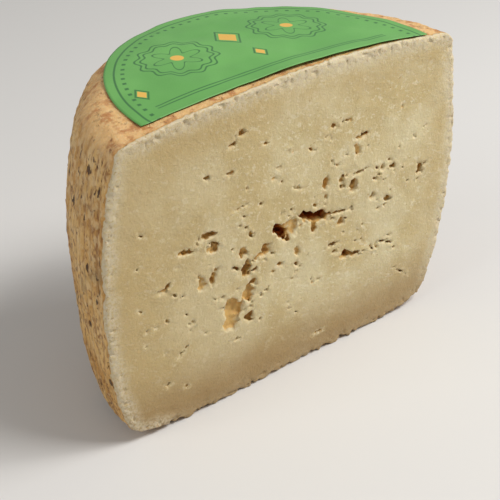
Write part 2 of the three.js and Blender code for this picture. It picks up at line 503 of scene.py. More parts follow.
class CheeseField:
    """The half wheel's solid as a field of signed distances in millimetres.

    Where one noise serves several layers, a bare shift of its coordinates keeps the layers apart.
    """

    fine_depth = 15.0
    coarser_behind = 2.0
    front_margin = 3.0
    side_margin = 4.0
    back_margin = 5.0
    ceiling = 152.0
    line_shift = 0.31
    worked_band = 3.2
    worked_outside = 2.0
    edge_round = 0.5
    lip_round = 0.3
    rim_round = 0.2

    broad_lumps = Bumps(0.55, 19.0)
    small_lumps = Bumps(0.35, 8.0)
    rib_pitch = 5.6
    rib_height = 0.27
    rib_drift = Bumps(1.8, 22.0)
    rib_waver = Bumps(0.5, 7.0)
    rind_grain = Bumps(0.30, 1.5)
    rind_stretch = (1.3, 3.2)
    rind_crumbs = Bumps(0.22, 1.7)
    rind_pits = Bumps(1.2, 2.1)
    pit_edge = (0.62, 0.86)
    pit_stretch = 2.6
    pit_fields = 14.0
    pit_field_edge = (-0.2, 0.3)
    crown_edge = (2.0, 12.0)
    smooth_foot = 3.0

    face_swells = Bumps(0.5, 38.0)
    face_waves = Bumps(0.22, 11.0)
    drag_way = (0.82, 0.57)
    drag_marks = Bumps(0.10, 1.3)
    drag_stretch = 4.0
    face_crumb = Bumps(0.16, 2.2)
    crumbly_edge = (7.5, 0.5)
    edge_crumb = Bumps(0.40, 1.4)
    crumb_squeeze = 1.3
    edge_pits = Bumps(0.8, 1.5)
    edge_pit_edge = (0.45, 0.8)
    worn_edge = 2.2
    wear = Bumps(0.9, 3.4)
    wear_edge = (-0.2, 0.7)

    lip_rise = (1.0, 2.2)
    lip_depth = (1.9, 2.6)
    lip_flatness = 0.7
    lip_grain = 6.0
    lip_crumbs = Bumps(0.7, 1.9)
    flakes = Bumps(0.42, 1.9)
    flake_band = (2.6, 0.2)
    flake_depth = 2.5
    pocket_margin = 3.0
    pocket_back_margin = 4.0
    far_off = 99.0

    def __init__(self, form: WheelForm, pockets: list[Pocket]) -> None:
        """Keeps the forms the field is made of.

        Args:
            form: The wheel's outer form.
            pockets: The openings in the cut face.
        """
        self.form = form
        self.pockets = pockets
        self.noise = LatticeNoise(11)
        self.rind_noise = LatticeNoise(23)
        self.grains = CurdGrains(31)

    def grid(self, pitch: float) -> tuple[Array, Array, Array]:
        """Grid lines, closer together near the cut than behind it.

        Args:
            pitch: Distance between lines near the cut.

        Returns:
            The places of the lines along, behind and above the cut's middle.
        """
        half = WHEEL_WIDTH / 2.0 + self.side_margin
        coarse = self.coarser_behind * pitch
        xs = np.arange(-half, half, pitch)
        near = np.arange(-self.front_margin, self.fine_depth, pitch)
        far = np.arange(near[-1] + coarse, WHEEL_DEPTH + self.back_margin, coarse)
        zs = np.arange(-self.front_margin, self.ceiling, pitch) + self.line_shift * pitch
        return xs, np.concatenate([near, far]), zs

    def _around(self, x: Array, y: Array) -> Array:
        """Lengths along the wheel's belly, from the right-hand end of the cut."""
        return np.arctan2(y, x) * self.form.belly_radius

    def lumps(self, x: Array, y: Array, z: Array) -> Array:
        """The rind's broad lumps.

        Args:
            x: Distances along the cut, from the wheel's axis.
            y: Distances behind the cut.
            z: Heights.

        Returns:
            One height for each point.
        """
        return self.broad_lumps.at(self.rind_noise, x, y, z) + self.small_lumps.at(self.rind_noise, x, y, z)

    def ribs(self, x: Array, y: Array, z: Array) -> Array:
        """The upright ribs that the basket left in the rind.

        Args:
            x: Distances along the cut, from the wheel's axis.
            y: Distances behind the cut.
            z: Heights.

        Returns:
            One value for each point, -1 in a groove and 1 on a rib.
        """
        around = self._around(x, y)
        flat = 0.0 * z
        drift = self.rib_drift.at(self.rind_noise, around, z, flat)
        drift = drift + self.rib_waver.at(self.rind_noise, around, z, flat)
        return np.sin((around + drift) * (2.0 * math.pi / self.rib_pitch))

    def rind_relief(self, x: Array, y: Array, z: Array) -> Array:
        """How far the rind stands proud of the true wheel.

        Args:
            x: Distances along the cut, from the wheel's axis.
            y: Distances behind the cut.
            z: Heights.

        Returns:
            One height for each point.
        """
        noise = self.rind_noise
        around = self._around(x, y)
        flat = 0.0 * z
        side = ease(*(self.form.crown_height - below for below in self.crown_edge), z)
        lumps = self.lumps(x, y, z)
        ribs = self.rib_height * self.ribs(x, y, z)
        across, upright = self.rind_stretch
        grain = self.rind_grain.at(noise, around / across, z / upright, flat)
        crumbs = self.rind_crumbs.at(noise, x, y, z)
        cracks = noise.at(around + 50.0, z / self.pit_stretch, flat, self.rind_pits.grain)
        fields = ease(*self.pit_field_edge, noise.at(x, y + 40.0, z, self.pit_fields))
        pits = -self.rind_pits.height * ease(*self.pit_edge, cracks) * fields
        return lumps + side * (ribs + grain + pits) + crumbs

    def face_relief(self, x: Array, z: Array, under_rind: Array) -> Array:
        """How far the cut surface stands proud of a flat one.

        Args:
            x: Distances along the cut, from the wheel's axis.
            z: Heights.
            under_rind: Distances to the rind, positive inside.

        Returns:
            One height for each point.
        """
        noise = self.noise
        flat = 0.0 * z
        level, steep = self.drag_way
        along = level * x + steep * z
        across = level * z - steep * x
        wave = self.face_swells.at(noise, x, flat, z) + self.face_waves.at(noise, x, flat, z)
        drag = self.drag_marks.at(noise, along / self.drag_stretch, flat, across)
        crumb = self.face_crumb.height * noise.layered(x, flat, z, self.face_crumb.grain, 2)
        edge = ease(*self.crumbly_edge, under_rind)
        crumbly = noise.layered(x, flat + 9.0, z * self.crumb_squeeze, self.edge_crumb.grain, 2)
        crumbly = self.edge_crumb.height * crumbly
        pits = ease(*self.edge_pit_edge, noise.at(x, flat + 21.0, z, self.edge_pits.grain))
        pits = -self.edge_pits.height * pits
        gone = ease(*self.wear_edge, noise.at(x, flat + 5.0, z, self.wear.grain))
        worn = -self.wear.height * ease(self.worn_edge, 0.0, under_rind) * gone
        return wave + drag + crumb + edge * (crumbly + pits) + worn

    def lip_bite(self, x: Array, y: Array, z: Array) -> Array:
        """Distance to the crumbled-away front edge of the foot, negative where it is gone.

        Args:
            x: Distances along the cut, from the wheel's axis.
            y: Distances behind the cut.
            z: Heights.

        Returns:
            One distance for each point.
        """
        flat = 0.0 * x
        ragged = self.noise.layered(x, flat + 3.0, flat, self.lip_grain, 3)
        ragged = ragged + self.lip_crumbs.at(self.noise, x, flat, z)
        rise = self.lip_rise[0] + self.lip_rise[1] * ragged
        depth = self.lip_depth[0] + self.lip_depth[1] * ragged
        inward = np.maximum(y, 0.0) * self.lip_flatness
        return np.hypot(np.maximum(z, 0.0), inward) - np.minimum(rise, depth)

    def pocket_distance(self, x: Array, y: Array, z: Array) -> Array:
        """Distance to the nearest opening.

        Args:
            x: Distances along the cut, from the wheel's axis.
            y: Distances behind the cut.
            z: Heights.

        Returns:
            The distances, negative inside an opening.
        """
        nearest = np.full(x.shape, self.far_off, np.float32)
        for pocket in self.pockets:
            reach = max(pocket.wide, pocket.high) / 2.0 + self.pocket_margin
            close = (np.abs(x - pocket.at) < reach) & (np.abs(z - pocket.up) < reach)
            index = np.nonzero(close & (y < pocket.deep + self.pocket_back_margin))
            distance = pocket.distance(x[index], y[index], z[index], self.noise, self.grains)
            nearest[index] = np.minimum(distance, nearest[index])
        return nearest

    def solid(self, pitch: float) -> tuple[Array, Array, Array, Array]:
        """The whole field on a grid.

        Args:
            pitch: Distance between grid lines near the cut.

        Returns:
            The field and the grid's lines in the three directions.
        """
        xs, ys, zs = self.grid(pitch)
        gx, gy, gz = np.meshgrid(
            xs.astype(np.float32), ys.astype(np.float32), zs.astype(np.float32), indexing="ij", copy=False
        )
        outer = self.form.distance(gx, gy, gz).astype(np.float32)
        at_rind = np.abs(outer) < self.worked_band
        at_cut = (np.abs(gy) < self.worked_band) & (outer < self.worked_outside)
        band = np.nonzero(at_rind | at_cut)
        values = np.maximum(outer, -gy)
        x, y, z = gx[band], gy[band], gz[band]
        skin = outer[band] - self.rind_relief(x, y, z) * ease(0.0, self.smooth_foot, z)
        face = -y - self.face_relief(x, z, -outer[band])
        near = rounded_max(skin, face, self.edge_round)
        near = rounded_max(near, -self.lip_bite(x, y, z), self.lip_round)
        values[band] = near
        for pocket in self.pockets:
            self._cut_pocket(values, pocket, xs, ys, zs)
        np.maximum(values, -gz, out=values)
        return values, xs, ys, zs

    def _cut_pocket(self, values: Array, pocket: Pocket, xs: Array, ys: Array, zs: Array) -> None:
        """Takes one opening out of the field.

        Args:
            values: The field, which is changed.
            pocket: The opening.
            xs: Grid lines along the cut.
            ys: Grid lines behind the cut.
            zs: Grid lines above the foot.
        """
        reach = max(pocket.wide, pocket.high) / 2.0
        spans = []
        for lines, low, high in (
            (xs, pocket.at - reach, pocket.at + reach),
            (ys, -self.front_margin, pocket.deep),
            (zs, pocket.up - reach, pocket.up + reach),
        ):
            low, high = pocket.holds(low, high)
            start, stop = np.searchsorted(lines, (low, high))
            spans.append(slice(int(start), int(stop)))
        part = np.meshgrid(xs[spans[0]], ys[spans[1]], zs[spans[2]], indexing="ij")
        x, y, z = (lines.astype(np.float32) for lines in part)
        hollow = pocket.distance(x, y, z, self.noise, self.grains)
        block = values[spans[0], spans[1], spans[2]]
        near_rim = ease(*self.flake_band, hollow) * ease(self.flake_depth, 0.0, y)
        flakes = self.flakes.height * near_rim * self.noise.layered(x + 17.0, y, z, self.flakes.grain, 2)
        block[...] = rounded_max(block + flakes, -hollow, self.rim_round)


def surface_net(values: Array, lines: tuple[Array, Array, Array]) -> tuple[Array, Array]:
    """Closed mesh of the surface where a field is zero.

    Args:
        values: The field on a grid, negative inside the solid.
        lines: The places of the grid's lines in the three directions.

    Returns:
        The points and the four-sided faces.
    """
    inside = values < 0.0
    shape = tuple(size - 1 for size in inside.shape)
    count = np.zeros(shape, np.uint8)
    offsets = [(i, j, k) for i in (0, 1) for j in (0, 1) for k in (0, 1)]
    for i, j, k in offsets:
        count += inside[i:i + shape[0], j:j + shape[1], k:k + shape[2]]
    cells = np.nonzero((count > 0) & (count < 8))
    number = np.full(shape, -1, np.int32)
    number[cells] = np.arange(len(cells[0]), dtype=np.int32)
    corner = {o: values[cells[0] + o[0], cells[1] + o[1], cells[2] + o[2]] for o in offsets}
    total = np.zeros((len(cells[0]), 3), np.float32)
    hits = np.zeros(len(cells[0]), np.float32)
    for start in offsets:
        for axis in range(3):
            if start[axis]:
                continue
            end = tuple(value + (index == axis) for index, value in enumerate(start))
            crossed = (corner[start] < 0.0) != (corner[end] < 0.0)
            a = corner[start][crossed]
            share = a / (a - corner[end][crossed])
            spot = np.tile(np.array(start, np.float32), (len(a), 1))
            spot[:, axis] = share
            total[crossed] += spot
            hits[crossed] += 1.0
    total /= hits[:, None]
    points = np.empty_like(total)
    for axis in range(3):
        base = lines[axis][cells[axis]]
        points[:, axis] = base + total[:, axis] * (lines[axis][cells[axis] + 1] - base)
    faces = []
    for axis in range(3):
        faces.append(_faces_across(inside, number, axis))
    return points, np.concatenate(faces)


def _faces_across(inside: Array, number: Array, axis: int) -> Array:
    """Faces across the grid's edges that run one way.

    Args:
        inside: Which grid points are inside the solid.
        number: Each cell's point number.
        axis: The way the edges run.

    Returns:
        The four-sided faces, turned to look out of the solid.
    """
    first, second = ((1, 2), (2, 0), (0, 1))[axis]
    low = [slice(1, -1)] * 3
    high = [slice(1, -1)] * 3
    low[axis] = slice(0, -1)
    high[axis] = slice(1, None)
    change = np.nonzero(inside[tuple(low)] != inside[tuple(high)])
    place = [change[0], change[1], change[2]]
    place[first] = place[first] + 1
    place[second] = place[second] + 1
    ring = []
    for back_first, back_second in ((1, 1), (0, 1), (0, 0), (1, 0)):
        at = list(place)
        at[first] = place[first] - back_first
        at[second] = place[second] - back_second
        ring.append(number[at[0], at[1], at[2]])
    faces = np.stack(ring, axis=1)
    solid_first = inside[place[0], place[1], place[2]]
    faces[~solid_first] = faces[~solid_first][:, ::-1]
    return faces


def largest_piece(points: Array, faces: Array) -> tuple[Array, Array]:
    """Keeps the largest joined piece of a mesh and drops loose ones.

    Args:
        points: The mesh's points.
        faces: Its four-sided faces.

    Returns:
        The kept points and faces.
    """
    label = np.arange(len(points))
    starts = faces.ravel()
    ends = np.roll(faces, -1, axis=1).ravel()
    while True:
        lowest = np.minimum(label[starts], label[ends])
        fresh = label.copy()
        np.minimum.at(fresh, starts, lowest)
        np.minimum.at(fresh, ends, lowest)
        fresh = fresh[fresh]
        if np.array_equal(fresh, label):
            break
        label = fresh
    names, sizes = np.unique(label, return_counts=True)
    kept = label == names[np.argmax(sizes)]
    renumbered = np.cumsum(kept) - 1
    return points[kept], renumbered[faces[kept[faces[:, 0]]]]


def mesh_from(name: str, points: Array, faces: Array) -> bpy.types.Object:
    """Makes a smooth-shaded mesh object from points in millimetres.

    Args:
        name: The object's name.
        points: The points, in the frame.
        faces: Faces with three or four corners each.

    Returns:
        The object, linked to the scene.
    """
    mesh = bpy.data.meshes.new(name)
    corners = faces.shape[1]
    mesh.vertices.add(len(points))
    mesh.vertices.foreach_set("co", (points * MM).astype(np.float32).ravel())
    mesh.loops.add(faces.size)
    mesh.loops.foreach_set("vertex_index", faces.astype(np.int32).ravel())
    mesh.polygons.add(len(faces))
    mesh.polygons.foreach_set("loop_start", np.arange(0, faces.size, corners, dtype=np.int32))
    mesh.update(calc_edges=True)
    mesh.validate()
    mesh.shade_smooth()
    piece = bpy.data.objects.new(name, mesh)
    bpy.context.scene.collection.objects.link(piece)
    return piece


def thin_out(piece: bpy.types.Object, most: int) -> None:
    """Merges the flattest faces of a piece until it has few enough triangles.

    Args:
        piece: The object, whose mesh is replaced.
        most: The most triangles it may keep.
    """
    triangles = sum(len(polygon.vertices) - 2 for polygon in piece.data.polygons)
    if triangles <= most:
        return
    modifier = piece.modifiers.new("thin_out", "DECIMATE")
    modifier.ratio = most / triangles
    modifier.use_collapse_triangulate = True
    graph = bpy.context.evaluated_depsgraph_get()
    thinned = bpy.data.meshes.new_from_object(piece.evaluated_get(graph))
    piece.modifiers.clear()
    old = piece.data
    piece.data = thinned
    bpy.data.meshes.remove(old)
    thinned.name = piece.name
    thinned.shade_smooth()


def point_array(piece: bpy.types.Object) -> Array:
    """A piece's points in millimetres, one row each."""
    flat = np.empty(len(piece.data.vertices) * 3, np.float32)
    piece.data.vertices.foreach_get("co", flat)
    return flat.reshape(-1, 3) / MM


def set_values(piece: bpy.types.Object, name: str, values: Array) -> None:
    """Stores one number for each point of a piece, for its material to read."""
    attribute = piece.data.attributes.new(name, "FLOAT", "POINT")
    attribute.data.foreach_set("value", values.astype(np.float32))


@dataclass(frozen=True)
class Ramp:
    """A share that grows smoothly while a value goes from start to full."""

    start: float
    full: float
    most: float = 1.0
    least: float = 0.0


@dataclass(frozen=True)
class Patches:
    """Patches of noise: their grain in millimetres, their detail, where they show and their distortion."""

    grain: float
    detail: float
    shown: Ramp
    twist: float = 0.0


@dataclass(frozen=True)
class Mottle:
    """Soft patches of two colours: their size in millimetres and the strength of a finer mottle."""

    patch: float
    fine: float


@dataclass(frozen=True)
class Surface:
    """Fine relief and gloss: grain and relief in millimetres, the rest as shares."""

    grain: float
    roughness: float
    spread: float
    relief: float
    strength: float
    specular: float


class Weaver:
    """Adds shader nodes to one tree and joins them."""

    def __init__(self, tree: bpy.types.NodeTree) -> None:
        """Keeps the tree."""
        self.tree = tree

    def node(self, kind: str, **settings: object) -> bpy.types.Node:
        """A new node with some of its properties set."""
        made = self.tree.nodes.new(kind)
        for key, value in settings.items():
            setattr(made, key, value)
        return made

    def feed(self, socket: Socket, value: object) -> None:
        """Joins an output to a socket, or sets the socket's own value.

        Args:
            socket: The input.
            value: An output socket, a number, a colour or a vector.
        """
        if isinstance(value, bpy.types.NodeSocket):
            self.tree.links.new(value, socket)
        elif isinstance(value, tuple) and socket.type == "RGBA":
            socket.default_value = (*value[:3], 1.0)
        else:
            socket.default_value = value

    def math(self, operation: str, *values: object) -> Socket:
        """A Math node's result.

        Args:
            operation: The node's operation.
            *values: Its inputs, in order.

        Returns:
            The output socket.
        """
        made = self.node("ShaderNodeMath", operation=operation)
        for socket, value in zip(made.inputs, values):
            self.feed(socket, value)
        return made.outputs[0]

    def ramp(self, value: object, ramp: Ramp) -> Socket:
        """A ramp's share at a value.

        Args:
            value: The value.
            ramp: The ramp.

        Returns:
            The output socket.
        """
        made = self.node("ShaderNodeMapRange", interpolation_type="SMOOTHSTEP")
        names = ("From Min", "From Max", "To Min", "To Max")
        for name, number in zip(names, (ramp.start, ramp.full, ramp.least, ramp.most)):
            made.inputs[name].default_value = number
        self.feed(made.inputs["Value"], value)
        return made.outputs["Result"]

    def patches(self, place: object, patches: Patches) -> Socket:
        """The share that patches of noise show."""
        return self.ramp(self.noise(place, patches.grain, patches.detail, patches.twist), patches.shown)

    def mix(self, share: object, first: object, second: object, blend: str = "MIX") -> Socket:
        """Two colours mixed.

        Args:
            share: How much of the second.
            first: The first colour.
            second: The second colour.
            blend: The node's blend type.

        Returns:
            The output socket.
        """
        made = self.node("ShaderNodeMix", data_type="RGBA", blend_type=blend)
        self.feed(made.inputs[0], share)
        self.feed(made.inputs[6], first)
        self.feed(made.inputs[7], second)
        return made.outputs[2]

    def noise(self, place: object, grain: float, detail: float = 2.0, twist: float = 0.0) -> Socket:
        """Noise from 0 to 1.

        Args:
            place: Coordinates in metres.
            grain: Size of its patches, in millimetres.
            detail: Extra layers of finer noise.
            twist: How far it is distorted.

        Returns:
            The output socket.
        """
        made = self.node("ShaderNodeTexNoise")
        made.inputs["Scale"].default_value = 1.0 / (grain * MM)
        made.inputs["Detail"].default_value = detail
        made.inputs["Distortion"].default_value = twist
        self.feed(made.inputs["Vector"], place)
        return made.outputs["Fac"]

    def stretched(self, place: object, turn: Triple, scale: Triple) -> Socket:
        """Coordinates turned and then stretched.

        Args:
            place: Coordinates in metres.
            turn: Angles about X, Y and Z, in degrees.
            scale: Factors along the turned axes.

        Returns:
            The output socket.
        """
        turned = self.node("ShaderNodeMapping", vector_type="POINT")
        self.feed(turned.inputs["Vector"], place)
        turned.inputs["Rotation"].default_value = [math.radians(angle) for angle in turn]
        scaled = self.node("ShaderNodeMapping", vector_type="POINT")
        self.feed(scaled.inputs["Vector"], turned.outputs[0])
        scaled.inputs["Scale"].default_value = scale
        return scaled.outputs[0]

    def value_of(self, name: str) -> Socket:
        """A number stored on the mesh's points."""
        return self.node("ShaderNodeAttribute", attribute_name=name).outputs["Fac"]

    def place(self) -> Socket:
        """The object's own coordinates, in metres."""
        return self.node("ShaderNodeTexCoord").outputs["Object"]

    def apart(self, place: Socket) -> tuple[Socket, Socket, Socket]:
        """The three numbers of a place."""
        made = self.node("ShaderNodeSeparateXYZ")
        self.feed(made.inputs[0], place)
        return made.outputs["X"], made.outputs["Y"], made.outputs["Z"]

    def strayed(self, place: Socket, grain: float, detail: float, stray: float, value: object) -> Socket:
        """A value shifted to and fro by noise.

        Args:
            place: Coordinates in metres.
            grain: Size of the noise's patches, in millimetres.
            detail: Extra layers of finer noise.
            stray: How far the value is shifted, from lowest to highest.
            value: The value.

        Returns:
            The output socket.
        """
        swing = self.math("SUBTRACT", self.noise(place, grain, detail), 0.5)
        return self.math("MULTIPLY_ADD", swing, stray, value)

    def grouped(self, tree: bpy.types.NodeTree, **values: object) -> bpy.types.Node:
        """A node group with its inputs fed.

        Args:
            tree: The group.
            **values: Its inputs by name, with _ for a space.

        Returns:
            The group node.
        """
        made = self.node("ShaderNodeGroup", node_tree=tree)
        for key, value in values.items():
            self.feed(made.inputs[key.replace("_", " ")], value)
        return made


class Effects:
    """Shader node groups that more than one finish uses."""

    kinds = {"number": "NodeSocketFloat", "colour": "NodeSocketColor", "vector": "NodeSocketVector"}
    mottle_edge = Ramp(0.36, 0.64)
    mottle_ratio = 9.0
    grain_ratio = 3.1
    grain_share = 0.5
    grain_detail = 3.0

    def __init__(self) -> None:
        """Builds each group once."""
        self.mottle = self._mottle()
        self.grain = self._grain()

    def _start(
        self, name: str, inputs: dict[str, str], outputs: dict[str, str]
    ) -> tuple[Weaver, dict[str, Socket], Node]:
        """A new group with its sockets.

        Args:
            name: The group's name.
            inputs: Input names and kinds.
            outputs: Output names and kinds.

        Returns:
            A weaver on the group, its inputs by name, and its output node.
        """
        tree = bpy.data.node_groups.new(name, "ShaderNodeTree")
        for key, kind in inputs.items():
            tree.interface.new_socket(key, in_out="INPUT", socket_type=self.kinds[kind])
        for key, kind in outputs.items():
            tree.interface.new_socket(key, in_out="OUTPUT", socket_type=self.kinds[kind])
        weaver = Weaver(tree)
        entry = weaver.node("NodeGroupInput")
        return weaver, {key: entry.outputs[key] for key in inputs}, weaver.node("NodeGroupOutput")

    def mottled(self, weaver: Weaver, place: Socket, dark: Colour, light: Colour, mottle: Mottle) -> Socket:
        """Two colours in soft patches.

        Args:
            weaver: The material's weaver.
            place: Coordinates in metres.
            dark: The darker colour.
            light: The lighter colour.
            mottle: Size and fineness of the patches.

        Returns:
            The colour.
        """
        patch, fine = mottle.patch, mottle.fine
        made = weaver.grouped(self.mottle, Place=place, Patch_mm=patch, Dark=dark, Light=light, Fine=fine)
        return made.outputs["Colour"]

    def surfaced(
        self, weaver: Weaver, shader: Node, place: Socket, surface: Surface, *relief: Socket
    ) -> None:
        """Gives a shader fine relief and gloss.

        Args:
            weaver: The material's weaver.
            shader: The shader.
            place: Coordinates in metres.
            surface: The relief and the gloss.
            *relief: A further height and the share of it that shows.
        """
        made = weaver.grouped(
            self.grain,
            Place=place,
            Grain_mm=surface.grain,
            Roughness=surface.roughness,
            Spread=surface.spread,
        )
        height = made.outputs["Height"]
        if relief:
            height = weaver.math("MULTIPLY_ADD", *relief, height)
        bump = weaver.node("ShaderNodeBump")
        bump.inputs["Distance"].default_value = surface.relief * MM
        bump.inputs["Strength"].default_value = surface.strength
        weaver.feed(bump.inputs["Height"], height)
        weaver.feed(shader.inputs["Normal"], bump.outputs[0])
        weaver.feed(shader.inputs["Roughness"], made.outputs["Roughness"])
        shader.inputs["Specular IOR Level"].default_value = surface.specular

    def _mottle(self) -> bpy.types.NodeTree:
        """Two colours in soft patches, with a finer and weaker mottle on top."""
        weaver, given, out = self._start(
            "mottle",
            {
                "Place": "vector",
                "Patch mm": "number",
                "Dark": "colour",
                "Light": "colour",
                "Fine": "number",
            },
            {"Colour": "colour"},
        )
        scale = weaver.math("DIVIDE", 1.0 / MM, given["Patch mm"])
        broad = weaver.node("ShaderNodeTexNoise")
        fine = weaver.node("ShaderNodeTexNoise")
        weaver.feed(broad.inputs["Vector"], given["Place"])
        weaver.feed(fine.inputs["Vector"], given["Place"])
        weaver.feed(broad.inputs["Scale"], scale)
        weaver.feed(fine.inputs["Scale"], weaver.math("MULTIPLY", scale, self.mottle_ratio))
        small = weaver.math("SUBTRACT", fine.outputs["Fac"], 0.5)
        large = weaver.ramp(broad.outputs["Fac"], self.mottle_edge)
        share = weaver.math("MULTIPLY_ADD", small, given["Fine"], large)
        share = weaver.math("MINIMUM", weaver.math("MAXIMUM", share, 0.0), 1.0)
        weaver.feed(out.inputs["Colour"], weaver.mix(share, given["Dark"], given["Light"]))
        return weaver.tree

    def _grain(self) -> bpy.types.NodeTree:
        """Fine relief in two sizes and a roughness that follows it."""
        weaver, given, out = self._start(
            "fine_grain",
            {"Place": "vector", "Grain mm": "number", "Roughness": "number", "Spread": "number"},
            {"Height": "number", "Roughness": "number"},
        )
        scale = weaver.math("DIVIDE", 1.0 / MM, given["Grain mm"])
        coarse = weaver.node("ShaderNodeTexNoise")
        fine = weaver.node("ShaderNodeTexNoise")
        fine.inputs["Detail"].default_value = self.grain_detail
        weaver.feed(coarse.inputs["Vector"], given["Place"])
        weaver.feed(fine.inputs["Vector"], given["Place"])
        weaver.feed(coarse.inputs["Scale"], scale)
        weaver.feed(fine.inputs["Scale"], weaver.math("MULTIPLY", scale, self.grain_ratio))
        height = weaver.math("MULTIPLY_ADD", fine.outputs["Fac"], self.grain_share, coarse.outputs["Fac"])
        swing = weaver.math("SUBTRACT", coarse.outputs["Fac"], 0.5)
        roughness = weaver.math("MULTIPLY_ADD", swing, given["Spread"], given["Roughness"])
        weaver.feed(out.inputs["Height"], height)
        weaver.feed(out.inputs["Roughness"], roughness)
        return weaver.tree


@dataclass(frozen=True)
class PasteFinish:
    """Colours of the paste, from the middle of the face to the rind, and where they show.

    The bands run over millimetres under the rind, the rises over metres up and the sides over metres along.
    """

    dark: Colour = srgb(199, 178, 128)
    light: Colour = srgb(213, 198, 156)
    fleck: Colour = srgb(228, 216, 182)
    gold: Colour = srgb(188, 161, 110)
    pale: Colour = srgb(207, 192, 161)
    speck: Colour = srgb(160, 124, 72)
    # Browner paste near the foot: partly the paste's own drier tone, partly painted shade near the floor.
    foot: Colour = srgb(156, 126, 82)
    mottle: Mottle = Mottle(30.0, 0.8)
    drag_turn: Triple = (0.0, -28.0, 0.0)
    drag_scale: Triple = (0.62, 1.0, 1.0)
    cluster_grain: float = 12.0
    cluster_lift: float = 0.14
    flecks: tuple[Patches, ...] = (
        Patches(2.6, 3.0, Ramp(0.67, 0.73, 0.55)),
        Patches(1.5, 3.0, Ramp(0.68, 0.74, 0.50)),
        Patches(0.9, 3.0, Ramp(0.67, 0.73, 0.30)),
    )
    pin_turn: Triple = (0.0, 20.0, 0.0)
    pin_scale: Triple = (0.6, 1.0, 1.0)
    pins: Patches = Patches(1.3, 1.0, Ramp(0.27, 0.22, 0.55))
    band_grain: float = 11.0
    band_detail: float = 3.0
    band_stray: float = 7.0
    gold_outer: Ramp = Ramp(3.0, 9.0, 0.35)
    gold_inner: Ramp = Ramp(26.0, 9.0)
    gold_side: Ramp = Ramp(10.0 * MM, -80.0 * MM, 0.45)
    foot_stray: float = 10.0 * MM
    foot_shade_rise: Ramp = Ramp(46.0 * MM, 6.0 * MM, 0.85)
    pale_band: Ramp = Ramp(9.0, 1.5)
    pale_rise: Ramp = Ramp(8.0 * MM, 40.0 * MM, 1.0, 0.15)
    pale_side: Ramp = Ramp(-55.0 * MM, -80.0 * MM)
    crumbs: Patches = Patches(1.3, 4.0, Ramp(0.34, 0.58, 0.95, 0.25))
    speck_band: Ramp = Ramp(7.0, 1.0, 0.6)
    specks: Patches = Patches(1.0, 2.0, Ramp(0.38, 0.30))


@dataclass(frozen=True)
class HollowFinish:
    """Colours inside the openings, from their rim inwards, over millimetres. Past the pale rim, the ochre,
    brown and deep colours that darken with depth are painted shade in the recess, warmed to the orange of
    light shining through the paste.
    """

    rim: Colour = srgb(216, 198, 156)
    ochre: Colour = srgb(208, 168, 100)
    brown: Colour = srgb(190, 104, 32)
    deep: Colour = srgb(112, 48, 14)
    rough_grain: float = 2.2
    rough_detail: float = 3.0
    stray: float = 2.4
    rim_band: Ramp = Ramp(-0.6, 1.1)
    flakes: Patches = Patches(1.3, 3.0, Ramp(0.42, 0.60, 0.75, 0.1))
    # Depths at which the painted shade inside the openings turns ochre, brown and deep red-brown.
    ochre_shade_depth: Ramp = Ramp(0.5, 1.4)
    brown_shade_depth: Ramp = Ramp(2.6, 5.4)
    deep_shade_depth: Ramp = Ramp(6.4, 10.5)


@dataclass(frozen=True)
class RindFinish:
    """Colours of the dry rind and where they show. The rises run over metres up."""

    tan: Colour = srgb(216, 176, 112)
    ochre: Colour = srgb(192, 144, 78)
    brown: Colour = srgb(138, 92, 50)
    mould: Colour = srgb(128, 108, 74)
    # Near-black: painted shade in the small pits of the rind.
    pit: Colour = srgb(66, 44, 28)
    dust: Colour = srgb(222, 192, 142)
    crown: Colour = srgb(182, 120, 72)
    warm: Colour = srgb(224, 180, 122)
    seam: Colour = srgb(192, 138, 62)
    mottle: Mottle = Mottle(22.0, 1.2)
    upright_scale: Triple = (1.0, 1.0, 0.62)
    streaks: Patches = Patches(1.7, 5.0, Ramp(0.71, 0.86, 0.8), 0.2)
    streak_field: float = 24.0
    streak_lift: float = 0.44
    # Brown painted into the grooves between the basket's ribs: painted shade in the creases.
    groove_grain: float = 4.0
    groove_lift: float = -2.6
    groove_shade: Ramp = Ramp(-1.5, -2.3, 0.45)
    dusty: Patches = Patches(2.6, 5.0, Ramp(0.61, 0.77, 0.65))
    dust_climb: float = 1.5
    moulds: Patches = Patches(17.0, 5.0, Ramp(0.52, 0.68, 0.6))
    mould_rise: Ramp = Ramp(116.0 * MM, 80.0 * MM, 1.0, 0.15)
    pit_scale: Triple = (1.0, 1.0, 0.5)
    pits: Patches = Patches(2.6, 4.0, Ramp(0.680, 0.745), 0.3)
    pit_field: float = 16.0
    pit_lift: float = 0.12
    pit_shade_share: float = 0.9
    crown_grain: float = 6.0
    crown_stray: float = 16.0 * MM
    crown_rise: Ramp = Ramp(134.0 * MM, 146.0 * MM, 0.8)
    warm_patches: Patches = Patches(6.0, 5.0, Ramp(0.36, 0.52))
    crown_dust: Patches = Patches(1.5, 3.0, Ramp(0.55, 0.70, 0.7))
    seam_grain: float = 3.0
    seam_stray: float = 3.0
    seam_band: Ramp = Ramp(4.2, 2.2, 0.7)
    streak_height: float = -1.6
    pit_height: float = 2.0


@dataclass(frozen=True)
class PaperFinish:
    """Colours of the printed paper and its surface."""

    green: Colour = srgb(102, 163, 85)
    light: Colour = srgb(110, 171, 91)
    ink: Colour = srgb(56, 104, 62)
    gold: Colour = srgb(226, 178, 86)
    ink_share: float = 0.85
    mottle: Mottle = Mottle(30.0, 0.2)
    surface: Surface = Surface(
        grain=0.8, roughness=0.42, spread=0.15, relief=0.04, strength=0.5, specular=0.4
    )


